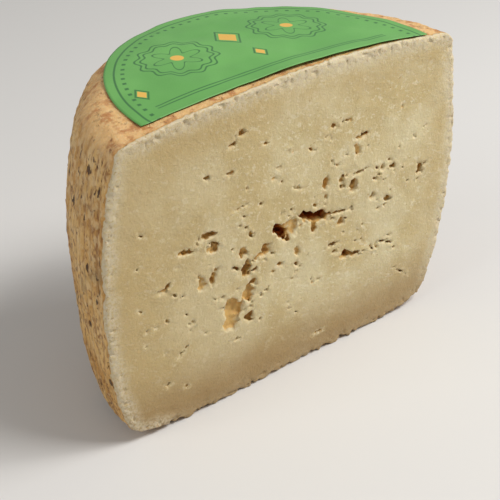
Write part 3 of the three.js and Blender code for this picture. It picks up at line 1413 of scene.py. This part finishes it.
class CheeseSkin:
    """The cheese's one material: paste, openings and rind, told apart by the mesh's own values."""

    edge_grain = 1.5
    edge_detail = 3.0
    skin_stray = 2.2
    skin_edge = Ramp(0.7, 1.3)
    face_stray = 1.2
    face_edge = Ramp(1.5, 1.0)
    opened = Ramp(-1.2, -0.9)
    surface = Surface(grain=1.1, roughness=0.62, spread=0.35, relief=0.35, strength=0.75, specular=0.35)
    glow = 0.12
    glow_radius = (1.0, 0.6, 0.25)
    glow_scale = 0.0025

    def __init__(self, effects: Effects) -> None:
        """Keeps the shared effects and the finishes."""
        self.effects = effects
        self.paste = PasteFinish()
        self.hollow = HollowFinish()
        self.rind = RindFinish()

    def build(self) -> bpy.types.Material:
        """Makes the material.

        Returns:
            The material.
        """
        material = bpy.data.materials.new("cheese_skin")
        material.use_nodes = True
        weaver = Weaver(material.node_tree)
        shader = material.node_tree.nodes["Principled BSDF"]
        place = weaver.place()
        under = weaver.value_of("under_rind")
        behind = weaver.value_of("behind_cut")
        hollow = weaver.value_of("hollow")

        paste = self._paste_colour(weaver, place, under)
        paste = self._hollow_colour(weaver, place, paste, hollow)
        rind, rind_height = self._rind_colour(weaver, place, behind)
        skin = weaver.strayed(place, self.edge_grain, self.edge_detail, self.skin_stray, under)
        edge = weaver.strayed(place, self.edge_grain, self.edge_detail, self.face_stray, behind)
        inner = weaver.math("MULTIPLY", weaver.ramp(skin, self.skin_edge), weaver.ramp(hollow, self.opened))
        shown = weaver.math("MAXIMUM", weaver.ramp(edge, self.face_edge), inner)
        covered = weaver.math("SUBTRACT", 1.0, shown)
        self.effects.surfaced(weaver, shader, place, self.surface, rind_height, covered)
        weaver.feed(shader.inputs["Base Color"], weaver.mix(shown, rind, paste))
        shader.inputs["Subsurface Weight"].default_value = self.glow
        shader.inputs["Subsurface Radius"].default_value = self.glow_radius
        shader.inputs["Subsurface Scale"].default_value = self.glow_scale
        return material

    def _paste_colour(self, weaver: Weaver, place: Socket, under: Socket) -> Socket:
        """Colour of the cut paste.

        Args:
            weaver: The material's weaver.
            place: Coordinates in metres.
            under: Distance to the rind, in millimetres.

        Returns:
            The colour.
        """
        look = self.paste
        colour = self.effects.mottled(weaver, place, look.dark, look.light, look.mottle)
        drag = weaver.stretched(place, look.drag_turn, look.drag_scale)
        cluster = weaver.noise(place, look.cluster_grain)
        for fleck in look.flecks:
            spots = weaver.noise(drag, fleck.grain, fleck.detail)
            clustered = weaver.math("MULTIPLY_ADD", cluster, look.cluster_lift, spots)
            colour = weaver.mix(weaver.ramp(clustered, fleck.shown), colour, look.fleck)
        pins = weaver.patches(weaver.stretched(place, look.pin_turn, look.pin_scale), look.pins)
        colour = weaver.mix(pins, colour, look.speck)
        strayed = weaver.strayed(place, look.band_grain, look.band_detail, look.band_stray, under)
        outer, inner = weaver.ramp(strayed, look.gold_outer), weaver.ramp(strayed, look.gold_inner)
        golden = weaver.math("MULTIPLY", outer, inner)
        colour = weaver.mix(golden, colour, look.gold)
        along, _, up = weaver.apart(place)
        colour = weaver.mix(weaver.ramp(along, look.gold_side), colour, look.gold)
        # Browner towards the foot: partly the paste's own tone and partly painted shade near the floor.
        low = weaver.math("MULTIPLY_ADD", cluster, look.foot_stray, up)
        colour = weaver.mix(weaver.ramp(low, look.foot_shade_rise), colour, look.foot)
        clear = weaver.math("MAXIMUM", weaver.ramp(low, look.pale_rise), weaver.ramp(along, look.pale_side))
        crumbs = weaver.patches(place, look.crumbs)
        crumbs = weaver.math("MULTIPLY", crumbs, weaver.ramp(strayed, look.pale_band))
        colour = weaver.mix(weaver.math("MULTIPLY", crumbs, clear), colour, look.pale)
        specks = weaver.patches(place, look.specks)
        specks = weaver.math("MULTIPLY", specks, weaver.ramp(strayed, look.speck_band))
        return weaver.mix(specks, colour, look.speck)

    def _hollow_colour(self, weaver: Weaver, place: Socket, paste: Socket, hollow: Socket) -> Socket:
        """Colour of the paste with its openings, whose walls are painted darker with depth as painted shade
        in the recess.

        Args:
            weaver: The material's weaver.
            place: Coordinates in metres.
            paste: Colour of the paste around them.
            hollow: Distance to the nearest opening, turned positive inside it.

        Returns:
            The colour.
        """
        look = self.hollow
        rough = weaver.noise(place, look.rough_grain, look.rough_detail)
        rim = weaver.ramp(weaver.math("MULTIPLY_ADD", rough, look.stray, hollow), look.rim_band)
        flaky = weaver.math("MULTIPLY", rim, weaver.patches(place, look.flakes))
        colour = weaver.mix(flaky, paste, look.rim)
        # Painted shade: the walls of the openings are painted ochre, then brown, then deep red-brown the
        # deeper they lie behind the cut.
        depth = weaver.value_of("depth")
        inward = weaver.strayed(place, look.rough_grain, look.rough_detail, look.stray, depth)
        for reached, shade in (
            (look.ochre_shade_depth, look.ochre),
            (look.brown_shade_depth, look.brown),
            (look.deep_shade_depth, look.deep),
        ):
            colour = weaver.mix(weaver.ramp(inward, reached), colour, shade)
        return colour

    def _rind_colour(self, weaver: Weaver, place: Socket, behind: Socket) -> tuple[Socket, Socket]:
        """Colour and fine relief of the rind.

        Args:
            weaver: The material's weaver.
            place: Coordinates in metres.
            behind: Distance behind the cut, in millimetres.

        Returns:
            The colour and the height.
        """
        look = self.rind
        straight = (0.0, 0.0, 0.0)
        _, _, up = weaver.apart(place)
        upright = weaver.stretched(place, straight, look.upright_scale)
        colour = self.effects.mottled(weaver, place, look.ochre, look.tan, look.mottle)
        streak = weaver.noise(upright, look.streaks.grain, look.streaks.detail, look.streaks.twist)
        tone = weaver.math("MULTIPLY_ADD", weaver.noise(place, look.streak_field), look.streak_lift, streak)
        colour = weaver.mix(weaver.ramp(tone, look.streaks.shown), colour, look.brown)
        # Painted shade: the grooves between the ribs are painted brown.
        broken = weaver.noise(upright, look.groove_grain, 3.0)
        groove = weaver.math("MULTIPLY_ADD", broken, look.groove_lift, weaver.value_of("rib"))
        colour = weaver.mix(weaver.ramp(groove, look.groove_shade), colour, look.brown)
        powder = weaver.noise(upright, look.dusty.grain, look.dusty.detail)
        powder = weaver.math("MULTIPLY_ADD", up, look.dust_climb, powder)
        colour = weaver.mix(weaver.ramp(powder, look.dusty.shown), colour, look.dust)
        mould = weaver.patches(place, look.moulds)
        mould = weaver.math("MULTIPLY", mould, weaver.ramp(up, look.mould_rise))
        colour = weaver.mix(mould, colour, look.mould)
        # Painted shade: the rind's small pits, sunk by the bump, are painted near-black.
        pitted = weaver.stretched(place, straight, look.pit_scale)
        pitted = weaver.noise(pitted, look.pits.grain, look.pits.detail, look.pits.twist)
        field = weaver.noise(place, look.pit_field, 1.0)
        pitted = weaver.math("MULTIPLY_ADD", field, look.pit_lift, pitted)
        pit = weaver.ramp(pitted, look.pits.shown)
        colour = weaver.mix(weaver.math("MULTIPLY", pit, look.pit_shade_share), colour, look.pit)
        uneven = weaver.noise(place, look.crown_grain, 4.0)
        raised = weaver.math("MULTIPLY_ADD", uneven, look.crown_stray, up)
        crust = weaver.mix(weaver.patches(place, look.warm_patches), look.crown, look.warm)
        crust = weaver.mix(weaver.patches(place, look.crown_dust), crust, look.dust)
        colour = weaver.mix(weaver.ramp(raised, look.crown_rise), colour, crust)
        ragged = weaver.noise(place, look.seam_grain, 3.0)
        frayed = weaver.math("MULTIPLY_ADD", ragged, look.seam_stray, behind)
        colour = weaver.mix(weaver.ramp(frayed, look.seam_band), colour, look.seam)
        height = weaver.math("MULTIPLY", streak, look.streak_height)
        return colour, weaver.math("SUBTRACT", height, weaver.math("MULTIPLY", pit, look.pit_height))


@dataclass
class HalfWheel:
    """The cheese: one solid with a worn rind, a crumbly cut face and openings in it."""

    form: WheelForm
    name: str = "cheese_half_wheel"
    pitch: float = 0.55
    quick_pitch: float = 1.1
    most_triangles: int = 190000
    pinholes: Pinholes = Pinholes()
    farthest: float = 4.0
    rim_reach: float = 0.7

    def field(self) -> CheeseField:
        """The solid's field, with its large and its small openings."""
        return CheeseField(self.form, [*POCKETS, *self.pinholes.pockets()])

    def build(self, material: bpy.types.Material, solid: CheeseField) -> bpy.types.Object:
        """Makes the cheese, dresses it and puts it in the CAD solid's place.

        Args:
            material: The cheese's material.
            solid: Its field.

        Returns:
            The object.
        """
        values, xs, ys, zs = solid.solid(self.pitch)
        points, faces = largest_piece(*surface_net(values, (xs, ys, zs)))
        points = points + np.array([AXIS_X, CUT_Y, 0.0])
        piece = mesh_from(self.name, points, faces)
        thin_out(piece, self.most_triangles)
        self._store_values(piece, solid)
        piece.data.materials.append(material)
        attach(piece, "root")
        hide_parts("cheese")
        return piece

    def _store_values(self, piece: bpy.types.Object, solid: CheeseField) -> None:
        """Stores what the material reads at each point.

        Args:
            piece: The cheese.
            solid: The field it was made from.
        """
        x, y, z = (point_array(piece) - np.array([AXIS_X, CUT_Y, 0.0], np.float32)).T
        nearest = solid.pocket_distance(x, y, z)
        under = -self.form.distance(x, y, z)
        set_values(piece, "under_rind", under)
        set_values(piece, "behind_cut", y + solid.face_relief(x, z, under))
        set_values(piece, "rib", solid.ribs(x, y, z))
        set_values(piece, "hollow", np.maximum(-nearest, -self.farthest))
        # Depth behind the cut on the walls of the openings, which the material turns into painted shade.
        set_values(piece, "depth", np.where(nearest < self.rim_reach, y, 0.0))


@dataclass
class PaperLabel:
    """The paper half-round on the crown, with its straight edge curling up."""

    form: WheelForm
    name: str = "paper_label"
    radius: float = 72.8
    centre: tuple[float, float] = (3.2, 9.8)
    chord: float = 3.4
    chord_slope: float = -0.037
    thickness: float = 0.28
    gap: float = 0.34
    curl: float = 1.0
    curl_reach: float = 13.0
    curl_middle: float = 12.0
    curl_half: float = 42.0
    curl_ends: float = 0.25
    cockles: Bumps = Bumps(0.18, 24.0)
    creases: Bumps = Bumps(0.07, 8.0)
    rings: int = 56
    spokes: int = 300

    def outline(self) -> tuple[Array, Array, Array]:
        """The label's edge seen from a point inside it.

        Returns:
            The directions along and behind the cut, and the reach in each direction.
        """
        middle = 0.5 * self.radius
        drop = self.centre[1] + middle - self.chord - self.chord_slope * self.centre[0]
        offset = (middle - drop) * math.cos(math.atan(self.chord_slope))
        swing = math.acos(offset / self.radius)
        tilt = math.atan(self.chord_slope) + 0.5 * math.pi
        right, left = (
            math.atan2(self.radius * math.sin(a) - middle, self.radius * math.cos(a)) % math.tau
            for a in (tilt - swing, tilt + swing)
        )
        right -= math.tau
        back = np.linspace(right, left, 2 * self.spokes // 3, endpoint=False)
        front = np.linspace(left, right + math.tau, self.spokes // 3, endpoint=False)
        angles = np.concatenate([back, front])
        along, behind = np.cos(angles), np.sin(angles)
        to_arc = np.sqrt(self.radius**2 - (middle * along) ** 2) - middle * behind
        sink = self.chord_slope * along - behind
        to_chord = drop / np.maximum(sink, 1e-6)
        return along, behind, np.minimum(to_arc, to_chord)

    def build(self, material: bpy.types.Material, solid: CheeseField) -> bpy.types.Object:
        """Makes the label, dresses it and puts it in the CAD solid's place.

        Args:
            material: The label's material.
            solid: The cheese it lies on.

        Returns:
            The object.
        """
        along, behind, reach = self.outline()
        share = np.linspace(0.0, 1.0, self.rings + 1)[1:, None]
        x = self.centre[0] + share * reach * along
        y = self.centre[1] + 0.5 * self.radius + share * reach * behind
        flat_x = np.concatenate([[self.centre[0]], x.ravel()])
        flat_y = np.concatenate([[self.centre[1] + 0.5 * self.radius], y.ravel()])
        crown = self.form.crown_at(flat_x, flat_y)
        lower = crown + solid.lumps(flat_x, flat_y, crown) + self.gap + self.lift(flat_x, flat_y)
        points = np.concatenate([
            np.stack([flat_x, flat_y, lower + self.thickness], axis=1),
            np.stack([flat_x, flat_y, lower], axis=1),
        ])
        points = points + np.array([AXIS_X, CUT_Y, 0.0])
        piece = mesh_from(self.name, points, self._faces(len(flat_x), len(along)))
        piece.data.materials.append(material)
        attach(piece, "root")
        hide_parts("label")
        return piece

    def lift(self, x: Array, y: Array) -> Array:
        """How far the paper stands off the crown.

        Args:
            x: Distances along the cut, from the wheel's axis.
            y: Distances behind the cut.

        Returns:
            One height for each point.
        """
        noise = LatticeNoise(41)
        near = np.clip(1.0 - (y - self.chord - self.chord_slope * x) / self.curl_reach, 0.0, 1.0) ** 2
        middle = np.exp(-(((x - self.curl_middle) / self.curl_half) ** 2))
        ends = self.curl_ends + (1.0 - self.curl_ends) * middle
        flat = 0.0 * x
        cockle = self.cockles.height * (noise.at(x, y, flat, self.cockles.grain) + 1.0)
        return self.curl * near * ends + (cockle + self.creases.at(noise, x, y, flat))

    def _faces(self, count: int, spokes: int) -> Array:
        """Triangles of the upper side, the lower side and the edge.

        Args:
            count: How many points each side has.
            spokes: How many points each ring has.

        Returns:
            The triangles.
        """
        step = np.arange(spokes)
        after = (step + 1) % spokes
        upper = [np.stack([np.zeros_like(step), 1 + step, 1 + after], axis=1)]
        for ring in range(self.rings - 1):
            inner = 1 + ring * spokes
            outer = inner + spokes
            upper.append(np.stack([inner + step, outer + step, outer + after], axis=1))
            upper.append(np.stack([inner + step, outer + after, inner + after], axis=1))
        top = np.concatenate(upper)
        bottom = top[:, ::-1] + count
        rim = 1 + (self.rings - 1) * spokes
        edge = [
            np.stack([rim + step, rim + step + count, rim + after + count], axis=1),
            np.stack([rim + step, rim + after + count, rim + after], axis=1),
        ]
        return np.concatenate([top, bottom, *edge])


class Motif(Enum):
    """Plain ornaments printed on the label."""

    ROSETTE = "rosette"
    LOZENGE = "lozenge"


@dataclass(frozen=True)
class Ornament:
    """One printed ornament: its kind, place and reach in millimetres, from the wheel's axis at the cut."""

    kind: Motif
    along: float
    behind: float
    reach: float


class LabelPrint:
    """The label's material: green paper with plain printed ornaments."""

    line = 0.42
    soft = 0.22
    border_inset = 4.2
    dots_inset = 7.6
    dots = 88.0
    dot_width = 1.9
    dot_edge = Ramp(0.25, 0.6)
    stripes = (6.5, 8.3)
    stripe_width = 0.8
    stripe_ends = Ramp(58.0, 57.0)
    lozenge_squeeze = 1.5
    lozenge_sharpness = 0.6
    lozenge_fill = 0.72
    fill_edge = Ramp(0.1, -0.1)
    rosette_rings = ((1.0, 12.0, 0.06), (0.86, 12.0, 0.06), (0.5, 6.0, 0.34))
    rosette_fill = 0.17
    rosette_soft = 0.2
    ornaments = (
        Ornament(Motif.ROSETTE, -27.0, 42.0, 16.5),
        Ornament(Motif.ROSETTE, 31.0, 42.0, 16.5),
        Ornament(Motif.LOZENGE, 2.0, 46.0, 9.0),
        Ornament(Motif.LOZENGE, 2.0, 24.0, 4.5),
        Ornament(Motif.LOZENGE, -56.0, 25.0, 4.5),
    )

    def __init__(self, effects: Effects, label: PaperLabel) -> None:
        """Keeps the shared effects, the finish and the label's sizes."""
        self.effects = effects
        self.paper = PaperFinish()
        self.label = label

    def build(self) -> bpy.types.Material:
        """Makes the material.

        Returns:
            The material.
        """
        material = bpy.data.materials.new("label_print")
        material.use_nodes = True
        weaver = Weaver(material.node_tree)
        shader = material.node_tree.nodes["Principled BSDF"]
        place = weaver.place()
        look = self.paper
        paper = self.effects.mottled(weaver, place, look.green, look.light, look.mottle)
        along, behind = self._flat(weaver, place)
        stripes = self._stripes(weaver, along, behind)
        ink = weaver.math("MAXIMUM", self._border(weaver, along, behind), stripes)
        gold = 0.0
        for ornament in self.ornaments:
            lines, fill = self._ornament(weaver, along, behind, ornament)
            ink = weaver.math("MAXIMUM", ink, lines)
            gold = weaver.math("MAXIMUM", gold, fill)
        colour = weaver.mix(gold, paper, look.gold)
        colour = weaver.mix(weaver.math("MULTIPLY", ink, look.ink_share), colour, look.ink)
        self.effects.surfaced(weaver, shader, place, look.surface)
        weaver.feed(shader.inputs["Base Color"], colour)
        return material

    def _flat(self, weaver: Weaver, place: Socket) -> tuple[Socket, Socket]:
        """Coordinates along and behind the cut, in millimetres.

        Args:
            weaver: The material's weaver.
            place: Coordinates in metres.

        Returns:
            The two coordinates.
        """
        along, behind, _ = weaver.apart(place)
        along = weaver.math("MULTIPLY_ADD", along, 1.0 / MM, -AXIS_X)
        return along, weaver.math("MULTIPLY_ADD", behind, 1.0 / MM, -CUT_Y)

    def _line(self, weaver: Weaver, distance: Socket, width: float = 1.0) -> Socket:
        """A line where a distance in millimetres is zero."""
        edge = Ramp(width * self.line + self.soft, width * self.line - self.soft)
        return weaver.ramp(weaver.math("ABSOLUTE", distance), edge)

    def _far(self, weaver: Weaver, along: Socket, behind: Socket) -> Socket:
        """Distance of a point from the place that its coordinates start at."""
        squares = weaver.math("ADD", weaver.math("POWER", along, 2.0), weaver.math("POWER", behind, 2.0))
        return weaver.math("SQRT", squares)

    def _border(self, weaver: Weaver, along: Socket, behind: Socket) -> Socket:
        """A thin line and a row of dots that follow the label's round edge.

        Args:
            weaver: The material's weaver.
            along: Coordinate along the cut.
            behind: Coordinate behind the cut.

        Returns:
            A mask, 1 on the ink.
        """
        x = weaver.math("SUBTRACT", along, self.label.centre[0])
        y = weaver.math("SUBTRACT", behind, self.label.centre[1])
        far = self._far(weaver, x, y)
        ring = self._line(weaver, weaver.math("SUBTRACT", far, self.label.radius - self.border_inset))
        angle = weaver.math("MULTIPLY", weaver.math("ARCTAN2", y, x), self.dots)
        beads = weaver.ramp(weaver.math("COSINE", angle), self.dot_edge)
        middle = weaver.math("SUBTRACT", far, self.label.radius - self.dots_inset)
        row = self._line(weaver, middle, self.dot_width)
        return weaver.math("MAXIMUM", ring, weaver.math("MULTIPLY", row, beads))

    def _stripes(self, weaver: Weaver, along: Socket, behind: Socket) -> Socket:
        """Thin stripes beside the label's straight edge.

        Args:
            weaver: The material's weaver.
            along: Coordinate along the cut.
            behind: Coordinate behind the cut.

        Returns:
            A mask, 1 on the ink.
        """
        edge = weaver.math("MULTIPLY_ADD", along, -self.label.chord_slope, behind)
        ends = weaver.ramp(weaver.math("ABSOLUTE", along), self.stripe_ends)
        mask = 0.0
        for inset in self.stripes:
            middle = weaver.math("SUBTRACT", edge, self.label.chord + inset)
            mask = weaver.math("MAXIMUM", mask, self._line(weaver, middle, self.stripe_width))
        return weaver.math("MULTIPLY", mask, ends)

    def _ornament(
        self, weaver: Weaver, along: Socket, behind: Socket, ornament: Ornament
    ) -> tuple[Socket, Socket]:
        """One ornament.

        Args:
            weaver: The material's weaver.
            along: Coordinate along the cut.
            behind: Coordinate behind the cut.
            ornament: What to draw and where.

        Returns:
            A mask of its ink and a mask of its filled middle.
        """
        x = weaver.math("SUBTRACT", along, ornament.along)
        y = weaver.math("SUBTRACT", behind, ornament.behind)
        if ornament.kind is Motif.LOZENGE:
            across = weaver.math("ABSOLUTE", weaver.math("MULTIPLY", x, self.lozenge_squeeze))
            far = weaver.math("ADD", across, weaver.math("ABSOLUTE", y))
            rim, inner = (
                weaver.math("MULTIPLY", weaver.math("SUBTRACT", far, reach), self.lozenge_sharpness)
                for reach in (ornament.reach, self.lozenge_fill * ornament.reach)
            )
            return self._line(weaver, rim), weaver.ramp(inner, self.fill_edge)
        far = self._far(weaver, x, y)
        angle = weaver.math("ARCTAN2", y, x)
        ink = 0.0
        for size, lobes, swing in self.rosette_rings:
            wave = weaver.math("COSINE", weaver.math("MULTIPLY", angle, lobes))
            edge = weaver.math("MULTIPLY_ADD", wave, size * swing * ornament.reach, size * ornament.reach)
            ink = weaver.math("MAXIMUM", ink, self._line(weaver, weaver.math("SUBTRACT", far, edge)))
        fill = self.rosette_fill * ornament.reach
        return ink, weaver.ramp(far, Ramp(fill + self.rosette_soft, fill - self.rosette_soft))


@dataclass(frozen=True)
class Softbox:
    """A square soft light: where it hangs and its side in millimetres, and its strength in watts."""

    name: str
    place: Triple
    side: float
    power: float


@dataclass
class Studio:
    """Floor, soft lights and the camera at the photograph's viewing angle."""

    softboxes: tuple[Softbox, ...] = (
        Softbox("key_light", (430.0, -520.0, 1100.0), 450.0, 9.5),
        Softbox("side_light", (900.0, -420.0, 750.0), 450.0, 5.0),
        Softbox("left_light", (-900.0, 50.0, 600.0), 500.0, 2.2),
    )
    aim: Triple = (0.0, 0.0, 70.0)
    surround: float = 0.30
    floor_size: float = 30.0
    floor_colour: Colour = (0.70, 0.68, 0.65)
    floor_roughness: float = 0.9
    eye: Triple = (-287.0, -334.4, 329.8)
    pitch: float = 31.404
    roll: float = 1.2286
    turn: float = 38.139
    lens: float = 86.4
    sensor: float = 36.0

    def build(self) -> None:
        """Makes the floor, the lights and the camera."""
        self._floor()
        self._world()
        for softbox in self.softboxes:
            self._light(softbox)
        self._camera()

    def _floor(self) -> None:
        """A wide pale floor under the cheese."""
        bpy.ops.mesh.primitive_plane_add(size=self.floor_size, location=(0.0, 0.0, 0.0))
        floor = bpy.context.object
        floor.name = "floor"
        material = bpy.data.materials.new("floor_paper")
        material.use_nodes = True
        shader = material.node_tree.nodes["Principled BSDF"]
        shader.inputs["Base Color"].default_value = (*self.floor_colour, 1.0)
        shader.inputs["Roughness"].default_value = self.floor_roughness
        floor.data.materials.append(material)

    def _world(self) -> None:
        """Even white light from all round."""
        world = bpy.data.worlds.new("soft_surround")
        bpy.context.scene.world = world
        world.use_nodes = True
        background = world.node_tree.nodes["Background"]
        background.inputs["Color"].default_value = (1.0, 1.0, 1.0, 1.0)
        background.inputs["Strength"].default_value = self.surround

    def _light(self, softbox: Softbox) -> None:
        """Hangs one soft light that looks at the cheese.

        Args:
            softbox: The light.
        """
        data = bpy.data.lights.new(softbox.name, "AREA")
        data.shape = "SQUARE"
        data.size = softbox.side * MM
        data.energy = softbox.power
        lamp = bpy.data.objects.new(softbox.name, data)
        lamp.location = Vector(softbox.place) * MM
        aim = Vector(self.aim) * MM - lamp.location
        lamp.rotation_euler = aim.to_track_quat("-Z", "Y").to_euler()
        bpy.context.scene.collection.objects.link(lamp)

    def _camera(self) -> None:
        """The camera, placed from where the wheel's axis meets the cut."""
        tilt, roll, turn = (math.radians(angle) for angle in (self.pitch, self.roll, self.turn))
        right = Vector((math.cos(turn), -math.sin(turn), 0.0))
        ahead = Vector((math.sin(turn) * math.cos(tilt), math.cos(turn) * math.cos(tilt), -math.sin(tilt)))
        down = ahead.cross(right)
        axis_x = math.cos(roll) * right + math.sin(roll) * down
        axis_y = math.sin(roll) * right - math.cos(roll) * down
        data = bpy.data.cameras.new("camera")
        data.sensor_fit = "HORIZONTAL"
        data.sensor_width = self.sensor
        data.lens = self.lens
        camera = bpy.data.objects.new("camera", data)
        spot = (Vector(self.eye) + Vector((AXIS_X, CUT_Y, 0.0))) * MM
        axes = Matrix((axis_x, axis_y, -ahead)).transposed()
        camera.matrix_world = Matrix.Translation(spot) @ axes.to_4x4()
        bpy.context.scene.collection.objects.link(camera)
        bpy.context.scene.camera = camera


def main() -> None:
    """Builds every piece and reports it."""
    logging.basicConfig(level=logging.INFO, format="%(message)s")
    form = WheelForm()
    effects = Effects()
    Studio().build()
    wheel = HalfWheel(form)
    solid = wheel.field()
    cheese = wheel.build(CheeseSkin(effects).build(), solid)
    LOG.info("%s: %d faces", cheese.name, len(cheese.data.polygons))
    label = PaperLabel(form)
    paper = label.build(LabelPrint(effects, label).build(), solid)
    LOG.info("%s: %d faces", paper.name, len(paper.data.polygons))
    bpy.context.scene.view_settings.view_transform = "Standard"


if __name__ == "__main__":
    main()
